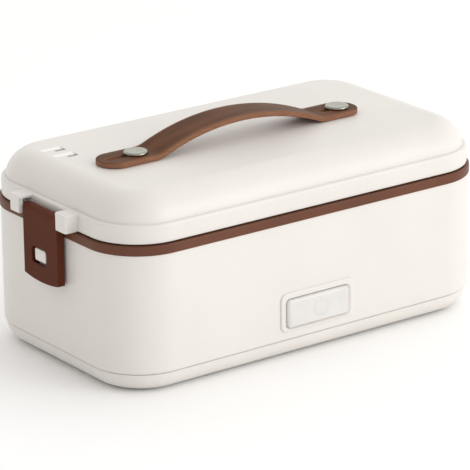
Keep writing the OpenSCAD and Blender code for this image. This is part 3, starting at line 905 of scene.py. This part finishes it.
@dataclass
class Controls:
    """The bezel, the button with its symbol, and the mains inlet."""

    palette: Palette
    centre: Point = (1.2, 25.4)
    bezel: Plan = Plan(47.0, 21.0, 4.0)
    bezel_up: float = 0.8
    bezel_root: float = 66.2
    bezel_back: Point = (66.3, 63.1)
    crest: float = 67.25
    throat: Plan = Plan(39.5, 15.7, 2.4)
    throat_top: float = 66.35
    mouth: Plan = Plan(42.4, 17.1, 3.1)
    collar: Plan = Plan(42.0, 18.2, 3.4)
    cap: Plan = Plan(39.2, 15.4, 2.3)
    shoulder: Plan = Plan(38.2, 14.4, 1.9)
    face: Plan = Plan(36.0, 12.8, 1.5)
    symbol_x: float = 1.4
    symbol_radius: float = 4.45
    symbol_gap: float = 64.0
    symbol_depth: Point = (67.88, 0.36)
    stroke: float = 0.75
    bar_half: float = 1.7
    bar_drop: float = 0.4
    cap_levels: tuple[float, ...] = (61.9, 62.9, 66.8, 67.8, 68.2)
    inlet_back: Plan = Plan(22.0, 12.0, 2.6)
    inlet_plate: Plan = Plan(34.0, 17.0, 4.0)
    inlet_well: Plan = Plan(16.6, 9.0, 4.4)
    inlet_inner: float = 109.4
    inlet_floor: float = 110.6
    inlet_wall: float = 116.8
    inlet_out: float = 118.2
    inlet_z: float = 26.0
    inlet_screws: float = 13.8
    inlet_bore: Bar = (1.55, 112.0, 122.0)

    def build_bezel(self) -> None:
        """Builds the raised frame round the button, with a soft slope on each side of its crest."""
        up, rear, (near, far) = self.bezel_up, self.bezel.grow(-0.8), self.bezel_back
        crest = self.bezel.grow(-0.15).at(self.crest, 0.7, 6, up)
        form = Form().loft(self.bezel.at(self.bezel_root, up=up), crest, arcs=10)
        back = Form().loft(rear.at(near, up=up), rear.at(far, up=up), arcs=10)
        hole = Form().loft(
            self.throat.at(62), self.throat.at(self.throat_top, 0.2, 2),
            self.mouth.at(self.crest, 0.35), self.mouth.at(69), arcs=10,
        )
        form.combine(Join.ADD, back).combine(Join.CUT, hole)
        form.face(Facing.FRONT).move(self.centre[0], 0, self.centre[1])
        finishes = [self.palette.cream]
        form.tidy().piece("button_bezel_dressed", "base", finishes, "body_cream", ["button_bezel"])

    def build_button(self) -> None:
        """Builds the frosted cap of the button."""
        back, step, wall, slope, front = self.cap_levels
        form = Form().loft(
            self.collar.at(back), self.collar.at(step), self.cap.at(step), self.cap.at(wall, 0.4, 3),
            self.shoulder.at(slope, 0.6), self.face.at(front, 0.5), arcs=8,
        ).face(Facing.FRONT).move(self.centre[0], 0, self.centre[1])
        form.tidy().piece("button_cap", "button", [self.palette.cap], "frosted_plastic", ["power_button"])

    def build_symbol(self) -> None:
        """Builds the ring-and-bar symbol in the cap's groove."""
        form = Form()
        radius, half = self.symbol_radius, self.stroke / 2
        first = [form.bm.verts.new((radius + k * half, 0, 0)) for k in (-1, 1)]
        edge = form.bm.edges.new(first)
        start = Matrix.Rotation(math.radians(90 + self.symbol_gap / 2), 3, "Z")
        bmesh.ops.rotate(form.bm, verts=first, cent=(0, 0, 0), matrix=start)
        bmesh.ops.spin(
            form.bm, geom=[edge], cent=(0, 0, 0), axis=(0, 0, 1), dvec=(0, 0, 0),
            angle=math.radians(360 - self.symbol_gap), steps=48, use_merge=False, use_duplicate=False,
        )
        bar = Matrix.Diagonal((half, self.bar_half, 1, 1))
        form.grid(Matrix.Translation((0, radius - self.bar_drop, 0)) @ bar)
        low, thick = self.symbol_depth
        form.extrude(form.bm.faces, (0, 0, thick)).move(0, 0, low).face(Facing.FRONT)
        form.move(self.centre[0] + self.symbol_x, 0, self.centre[1])
        form.tidy().piece("button_symbol", "button", [self.palette.ink], "frosted_plastic", ["button_icon"])

    def build_inlet(self) -> None:
        """Builds the mains inlet with its oval well."""
        form = Form().loft(
            self.inlet_back.at(self.inlet_inner), self.inlet_back.at(self.inlet_wall),
            self.inlet_plate.at(self.inlet_wall), self.inlet_plate.at(self.inlet_out, 0.5, 3),
            self.inlet_well.at(self.inlet_out, 0.4, 3), self.inlet_well.at(self.inlet_floor), arcs=8,
        )
        holes = [Form().rod(*self.inlet_bore, 20).move(side * self.inlet_screws) for side in (-1, 1)]
        for part in (form, *holes):
            part.face(Facing.RIGHT).move(0, 0, self.inlet_z)
        form.combine(Join.CUT, *holes)
        form.piece("inlet_housing", "base", [self.palette.black], "black_plastic", ["inlet_socket"])

    def build(self) -> None:
        """Builds the controls and the inlet."""
        self.build_bezel()
        self.build_button()
        self.build_symbol()
        self.build_inlet()


@dataclass
class Lid:
    """The domed lid with its latch lugs, vents and liner."""

    palette: Palette
    rim: Plan = Plan(232.2, 131.2, 29.1)
    dome: Plan = Plan(228.0, 127.0, 27.0)
    wall: float = 2.4
    rim_low: float = 79.3
    step: float = 89.2
    top: float = 102.6
    edge: float = 15.8
    crease: float = 0.45
    vents: Point = (17.8, 29.4)
    vent_x: Point = (-97.8, -86.0)
    scoop: tuple[Point, ...] = ((0, -0.4), (-4.1, -0.34), (-7.1, 0), (-7.1, 1), (0, 1))
    vent_slot: Plan = Plan(5.6, 3.2, 0.7)
    vent_slot_at: Point = (-2.8, 1.6)
    lug_y: Point = (15.5, 25.5)
    lug_x: Point = (114.6, 123.8)
    lug_top: float = 88.6
    lug_skin: float = 1.4
    lug_root: float = 1.8
    lug_hollow: Point = (121.2, 7.5)
    lug_mouth: Point = (125.0, 2.2)
    boss: Point = (80.0, 38.0)
    boss_radius: float = 3.8
    boss_hole: float = 3.2
    liner: Plan = Plan(222.8, 121.8, 24.4)
    liner_z: Point = (81.5, 83.3)
    steam_ring: Plan = Plan(199.0, 99.0, 13.0)
    steam_wall: float = 1.8
    steam_high: float = 3.0
    liner_slot: Plan = Plan(3.0, 22.0, 1.4)
    slot_pitch: float = 9.0

    def roll(self, steps: int = 22) -> list[Level]:
        """Gives the levels of the dome's rolled edge, whose arc starts below the step.

        Args:
            steps: how many levels the arc has.

        Returns:
            The levels, from the step to the flat top.
        """
        start = math.asin((self.step - self.crease - self.top + self.edge) / self.edge)
        turn = [start + (math.pi / 2 - start) * i / steps for i in range(steps + 1)]
        return [
            self.dome.grow(-self.edge * (1 - math.cos(a))).at(self.top - self.edge * (1 - math.sin(a)))
            for a in turn
        ]

    def build_shell(self) -> None:
        """Builds the domed shell with its vents, whose scoop floors carry a painted highlight."""
        inner = self.dome.grow(-self.wall)
        form = Form().loft(
            inner.at(self.top - self.wall, self.edge - self.wall, 10), inner.at(self.rim_low, 0.3, 2),
            self.rim.at(self.rim_low, 0.5, 3), self.rim.at(self.step, 1.9, 7), *self.roll(), arcs=20,
        )
        (left, right), (aside, back), cutters = self.vent_x, self.vent_slot_at, []
        for y in self.vents:
            cutters.append(Form().prism(self.scoop, left, right - left).turn_z(-90).move(0, y, self.top))
            cutters.append(self.vent_slot.slab(-3.4, 1, 6).move(right + aside, y + back, self.top))
        form.combine(Join.CUT, *cutters)
        # painted highlight: the vent scoop floors take the lighter cream (the second finish) in place of
        # the light they catch
        for face in form.bm.faces:
            spot, normal = face.calc_center_median(), face.normal
            in_vent = left < spot.x < right and spot.y > self.vents[0] and abs(normal.x) < 0.01
            if in_vent and -0.15 < normal.y < -0.05:
                face.material_index = 1
        for x, y in at_corners(*self.boss):
            form.add(Form().rod(self.boss_radius, self.liner_z[1], self.top - 1.2, 24).move(x, y))
        finishes = [self.palette.cream, self.palette.pale]
        form.piece("lid_shell_dressed", "lid", finishes, "body_cream", ["lid_shell"], sharp=30)

    def build_lugs(self) -> None:
        """Builds the hollow lugs that carry the latch pins at both ends."""
        (near, far), (left, right), under = self.lug_y, self.lug_x, self.rim_low - 1.3
        roof, centre, half = self.lug_top - self.lug_skin, (near + far) / 2, (far - near) / 2
        form = Form().prism(boxed(left, self.rim_low, right, self.lug_top), near, far - near).tidy()
        end = {e for e in form.bm.edges if middle(e).x > right - 0.8}
        form.soften(1.6, 6, 50, lambda e: e in end and abs(middle(e).y - centre) > half - 0.1)
        form.soften(0.6, 3, 50, lambda e: middle(e).x > left + 0.2)
        form.combine(Join.CUT, *(
            Form().prism(boxed(left + self.lug_root, under, out, roof), near - 1, deep)
            for out, deep in (self.lug_hollow, self.lug_mouth)
        ))
        for name, lug in (("far", form), ("near", form.twin(1, -1))):
            other = lug.tidy().twin()
            lug.piece(f"lug_right_{name}", "lid", [self.palette.cream], "body_cream", ["lid_shell"])
            other.piece(f"lug_left_{name}", "lid", [self.palette.cream], "body_cream", ["lid_shell"])

    def build_liner(self) -> None:
        """Builds the inner liner with its vent slots and steam ring."""
        low, high = self.liner_z
        form, inner = self.liner.slab(low, high, 14), self.steam_ring.grow(-self.steam_wall)
        root, crest = high - 0.5, high + self.steam_high
        ring = Form().loft(
            self.steam_ring.at(root), self.steam_ring.at(crest, 0.4, 2), inner.at(crest, 0.4, 2),
            inner.at(root), closed=True,
        )
        cutters = [self.liner_slot.slab(79, 88, 6).move(i * self.slot_pitch) for i in range(-3, 4)]
        cutters += [Form().rod(self.boss_hole, 78, high - 1, 24).move(*at) for at in at_corners(*self.boss)]
        form.combine(Join.ADD, ring).combine(Join.CUT, *cutters)
        form.piece("lid_liner_dressed", "lid", [self.palette.frost], "frosted_plastic", ["lid_liner"])

    def build(self) -> None:
        """Builds the whole lid."""
        self.build_shell()
        self.build_lugs()
        self.build_liner()


@dataclass
class Latches:
    """The two brown flaps, each on its own pin."""

    palette: Palette
    width: float = 30.6
    inside: float = 118.2
    thick: float = 4.2
    low: float = 47.0
    bow: float = 72.8
    pivot: Point = (119.4, 82.7)
    barrel: float = 3.0
    bore: float = 1.6
    window: Plan = Plan(13.2, 8.6, 2.0)
    window_at: Point = (1.6, 60.3)
    window_zone: Spot = (9.0, 55.0, 66.0)
    cut: Point = (110.0, 130.0)
    wedge: tuple[Point, ...] = ((-1.0, 51.4), (3.3, 56.1), (3.3, 59.0), (-1.0, 59.0))

    def flap(self) -> Form:
        """Models the flap on the right-hand end: its barrel, bowed foot, window and the ramp below it.

        Returns:
            The form.
        """
        (px, pz), inside, out = self.pivot, self.inside, self.inside + self.thick
        turns = [math.radians(degrees) for degrees in range(0, 255, 15)]
        bend = [(px + self.barrel * math.cos(a), pz + self.barrel * math.sin(a)) for a in turns]
        meet = pz - math.sqrt(self.barrel ** 2 - (px - inside) ** 2)
        side = [(inside, self.low - 2), (out, self.low - 2), *bend, (inside, meet)]
        form = Form().prism(side, -self.width / 2, self.width).tidy()
        disc = Form().rod(self.bow, *self.cut, 160).face(Facing.RIGHT).move(0, 0, self.low + self.bow)
        form.combine(Join.KEEP, disc)
        form.soften(0.75, 4, 50, lambda e: max(v.co.x for v in e.verts) > inside + 2)
        hole = self.window.slab(*self.cut).face(Facing.RIGHT).move(0, *self.window_at)
        edge = self.window_at[0] - self.window.length / 2
        wedge = Form().prism([(inside + x, z) for x, z in self.wedge], edge, self.window.length)
        bore = Form().rod(self.bore, -20, 20, 24).face(Facing.FRONT).move(px, 0, pz)
        form.combine(Join.CUT, hole, wedge, bore)
        half, low, high = self.window_zone
        outer = {e for e in form.bm.edges if middle(e).x > out - 0.1 and abs(middle(e).y) < half}
        return form.soften(0.35, 2, 60, lambda e: e in outer and low < middle(e).z < high).tidy()

    def build(self) -> None:
        """Builds both flaps."""
        right = self.flap()
        left = right.twin()
        for side, form in (("right", right), ("left", left)):
            name, finishes = f"flap_{side}", [self.palette.flap]
            form.piece(f"{name}_dressed", name, finishes, "umber_plastic", [f"latch_{side}"])


@dataclass
class Strap:
    """The leather strap: two slotted tabs and a long arch."""

    width: float = 20.2
    thick: float = 2.8
    low: float = 102.75
    front: float = 5.6
    ends: Point = (-89.4, 72.5)
    arch_x: float = -7.3
    arch_half: float = 54.2
    arch_rise: float = 10.9
    feet: Point = (15.0, 8.0)
    slots: tuple[Point, ...] = ((-83.2, -67.2), (52.2, 65.2))
    slot_radius: float = 2.2
    cut_pitch: float = 1.6

    def line(self, x: float) -> Point:
        """Gives the strap's middle line at one place.

        Args:
            x: the place along the lid.

        Returns:
            The rise above the tabs and the slope angle.
        """
        phi = 2 * math.atan(self.arch_rise / self.arch_half)
        d = x - self.arch_x
        foot = self.feet[0] if d < 0 else self.feet[1]
        arch = self.arch_half / math.sin(phi) - foot
        if abs(d) >= self.arch_half:
            return 0.0, 0.0
        if abs(d) <= arch * math.sin(phi):
            angle = -math.asin(d / arch)
            return self.arch_rise - arch + arch * math.cos(angle), angle
        angle = math.asin((self.arch_half - abs(d)) / foot)
        return foot * (1 - math.cos(angle)), math.copysign(angle, -d)

    def blank(self) -> Form:
        """Models the flat strap, slotted, and cut across where it will bend.

        Returns:
            The form.
        """
        left, right = self.ends
        plan = Plan(right - left, self.width, self.width / 2 - 0.3)
        form = Form().loft(plan.at(-self.thick / 2, 0.5, 3), plan.at(self.thick / 2, 0.6, 3), arcs=16)
        form.move((left + right) / 2)
        wide = 2 * self.slot_radius
        form.combine(Join.CUT, *(
            Plan(b - a + wide, wide, self.slot_radius - 0.01).slab(-5, 5, 10).move((a + b) / 2)
            for a, b in self.slots
        ))
        place = self.arch_x - self.arch_half - 1
        while place < self.arch_x + self.arch_half + 1.5:
            bmesh.ops.bisect_plane(
                form.bm, geom=[*form.bm.verts, *form.bm.edges, *form.bm.faces],
                plane_co=(place, 0, 0), plane_no=(1, 0, 0), dist=1e-4,
            )
            place += self.cut_pitch
        return form

    def build(self) -> None:
        """Builds the strap and bends it to its arch."""
        form = self.blank()
        for face in form.bm.faces:
            face.normal_update()
            face.material_index = 0 if face.normal.z > 0.55 else 1
        for vert in form.bm.verts:
            rise, slope = self.line(vert.co.x)
            off = vert.co.z
            vert.co.x -= off * math.sin(slope)
            vert.co.z = self.low + self.thick / 2 + rise + off * math.cos(slope)
        form.move(0, -self.front)
        bends = (self.arch_x - self.arch_half, self.arch_x + self.arch_half)
        finishes = [LeatherFace(front=self.front, bends=bends).make(), LeatherEdge().make()]
        form.piece("strap_leather_arch", "handle", finishes, "strap_leather", ["strap"], sharp=45)


@dataclass
class Studs:
    """The two stud heads that hold the strap."""

    places: tuple[tuple[str, float], ...] = (("stud_left", -67.2), ("stud_right", 61.6))
    front: float = 5.6
    head: float = 6.3
    neck: float = 1.5
    under: float = 105.75
    over: float = 107.15
    root: float = 96.6

    def build(self) -> None:
        """Builds both studs, each with turned marks about its own middle."""
        h, lo, hi = self.head, self.under, self.over
        profile = [
            (0, self.root), (self.neck, self.root), (self.neck, lo), (h - 0.4, lo), (h - 0.1, lo + 0.15),
            (h, lo + 0.4), (h, hi - 0.9), (h - 0.08, hi - 0.6), (h - 0.3, hi - 0.28), (h - 0.65, hi - 0.07),
            (h - 1.0, hi), (h - 1.5, hi - 0.03), (h - 3, hi - 0.1), (1.5, hi - 0.13), (0, hi - 0.13),
        ]
        for name, x in self.places:
            centre = (x, -self.front, 0)
            metal = WorkedMetal(f"{name}_nickel", linear(156, 156, 145), 0.24, Grain.TURNED, centre)
            form = Form().turned(profile, 72).tidy().move(*centre)
            form.piece(name, "lid", [metal.make()], "bright_nickel", ["studs"], sharp=50)


@dataclass
class Container:
    """The steel food pan and its frosted cover."""

    palette: Palette
    pan: Plan = Plan(204.0, 104.0, 17.0)
    floor: float = 25.2
    rim_z: float = 77.2
    rim_out: float = 3.0
    sheet: float = 0.8
    corner: float = 6.0
    cover: Plan = Plan(207.0, 107.0, 22.0)
    cover_thick: float = 1.6
    cover_rim: float = 9.0
    valve_hole: float = 5.1

    def build_pan(self) -> None:
        """Builds the drawn pan with its rolled rim."""
        rim, inner, high = self.pan.grow(self.rim_out), self.pan.grow(-self.sheet), self.rim_z + self.sheet
        form = Form().loft(
            self.pan.at(self.floor, self.corner, 8), self.pan.at(self.rim_z),
            rim.at(self.rim_z, 0.3, 2), rim.at(high, 0.3, 2), inner.at(high, 0.7, 3),
            inner.at(self.floor + self.sheet, self.corner - self.sheet, 8),
        )
        form.tidy().piece("food_pan_drawn", "container", [self.palette.pan], "pan_steel", ["food_pan"])

    def build_cover(self) -> None:
        """Builds the cover plate with its sunk panel and valve hole."""
        low, panel = self.rim_z + self.sheet, self.cover.grow(-self.cover_rim)
        top = low + self.cover_thick
        form = Form().loft(
            self.cover.at(low, 0.3, 2), self.cover.at(top, 0.5, 3), panel.at(top, 0.2, 2),
            panel.grow(-1).at(top - 0.5, 0.2, 2), arcs=12,
        )
        form.combine(Join.CUT, Form().rod(self.valve_hole, 70, 84, 40))
        finishes = [self.palette.frost]
        form.piece("pan_cover_dressed", "container_cover", finishes, "frosted_plastic", ["pan_lid"])

    def build(self) -> None:
        """Builds the container."""
        self.build_pan()
        self.build_cover()


def dress_nodes(nodes: dict[str, bpy.types.Object], palette: Palette) -> None:
    """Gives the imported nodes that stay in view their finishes.

    Args:
        nodes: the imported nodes.
        palette: the finishes.
    """
    finishes = {
        palette.rubber: ("feet",),
        palette.silicone: ("pan_seal", "pan_valve"),
        # the lid seal's near-black rubber is painted shade for the gap under the lid rim
        palette.seal: ("lid_seal",),
        palette.alloy: ("heating_plate", "heater"),
        palette.board: ("control_board",),
        palette.sleeve: ("wires",),
        palette.black: ("thermostat", "switch_body"),
        palette.umber: ("switch_plunger",),
        palette.steel: (
            "base_screws", "thermal_fuse", "heater_clamp", "clamp_screws", "board_screws", "inlet_pins",
            "inlet_screws", "liner_screws", "latch_pins", "stud_nuts",
        ),
    }
    for finish, names in finishes.items():
        for name in names:
            node = nodes[name]
            if not node.material_slots:
                node.data.materials.append(finish)
            for holder in node.material_slots:
                holder.material = finish
            LOG.info("%s: %s", name, finish.name)


# ---------------------------------------------------------------- studio


@dataclass
class Studio:
    """The floor, the soft lights, the surroundings and the camera."""

    eye: Spot = (-946.045, -1291.433, 597.124)
    right: Spot = (0.804951, -0.593243, -0.010777)
    up: Spot = (0.201303, 0.255965, 0.945494)
    focal: float = 3235.89
    frame: float = 470.0
    sensor: float = 36.0
    dark_side: Spot = (-0.93, -0.1, 0.35)
    sky: float = 1.19
    sky_light: Colour = (1.0, 0.995, 0.985, 1.0)
    sky_dark: Colour = (1.0, 0.97, 0.945, 1.0)
    fall: float = 0.41
    clip: Point = (0.05, 20.0)
    floor_half: float = 6.0
    floor_cloud: float = 900.0
    floor_tones: tuple[Colour, Colour] = ((0.965, 0.965, 0.965, 1), (0.985, 0.985, 0.985, 1))
    key_at: Spot = (0.9, -1.7, 0.75)
    key_aim: Spot = (0.0, 0.0, 0.06)
    key_size: float = 1.4
    key_watts: float = 12.5
    key_tint: Spot = (1.0, 0.99, 0.97)

    def place_camera(self) -> None:
        """Places the camera."""
        data = bpy.data.cameras.new("camera")
        data.sensor_width = self.sensor
        data.lens = self.focal / self.frame * self.sensor
        data.clip_start, data.clip_end = self.clip
        camera = bpy.data.objects.new("camera", data)
        bpy.context.scene.collection.objects.link(camera)
        across, above = Vector(self.right).normalized(), Vector(self.up).normalized()
        turn = Matrix((across, above, across.cross(above))).transposed().to_4x4()
        camera.matrix_world = Matrix.Translation(Vector(self.eye) * MM) @ turn
        bpy.context.scene.camera = camera

    def place_floor(self) -> None:
        """Lays a plain pale floor."""
        form = Form()
        form.grid(Matrix.Diagonal((self.floor_half, self.floor_half, 1, 1)))
        data = form.mesh("floor")
        g = Graph.of("floor_pale")
        pale = g.blend(g.noise(g.place(), self.floor_cloud), *self.floor_tones)
        data.materials.append(g.finish(Base_Color=pale, Roughness=0.9, Specular_IOR_Level=0.1))
        floor = bpy.data.objects.new("floor", data)
        bpy.context.scene.collection.objects.link(floor)

    def place_key(self) -> None:
        """Hangs the soft lamp that looks at the box."""
        data = bpy.data.lights.new("key", "AREA")
        data.shape, data.size = "DISK", self.key_size
        data.energy, data.color = self.key_watts, self.key_tint
        lamp = bpy.data.objects.new("key", data)
        bpy.context.scene.collection.objects.link(lamp)
        lamp.location = self.key_at
        lamp.rotation_mode = "QUATERNION"
        way = Vector(self.key_aim) - Vector(self.key_at)
        lamp.rotation_quaternion = way.to_track_quat("-Z", "Y")

    def place_sky(self) -> None:
        """Surrounds the box with an even light that falls off towards its dark side."""
        world = bpy.data.worlds.new("surround")
        g = Graph(world)
        way = g.term("ShaderNodeTexCoord", {}, {}, "Generated")
        lean = {0: way, 1: self.dark_side}
        shadow = g.term("ShaderNodeVectorMath", {"operation": "DOT_PRODUCT"}, lean, "Value").step(-0.2, 1.0)
        colour = g.blend(shadow, self.sky_light, self.sky_dark)
        sky = g.term("ShaderNodeBackground", {}, {
            "Color": colour, "Strength": self.sky * (1 - shadow * self.fall),
        })
        g.node("ShaderNodeOutputWorld", {}, {"Surface": sky})
        bpy.context.scene.world = world

    def build(self) -> None:
        """Builds the studio."""
        bpy.context.scene.view_settings.view_transform = "Standard"
        self.place_sky()
        self.place_camera()
        self.place_floor()
        self.place_key()


def main() -> None:
    """Builds the lunch box on its frame."""
    logging.basicConfig(level=logging.INFO, format="%(name)s: %(message)s")
    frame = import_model()
    Studio().build()
    palette = Palette()
    Body(palette).build()
    Controls(palette).build()
    Lid(palette).build()
    Latches(palette).build()
    Strap().build()
    Studs().build()
    Container(palette).build()
    dress_nodes(frame["nodes"], palette)


if __name__ == "__main__":
    main()
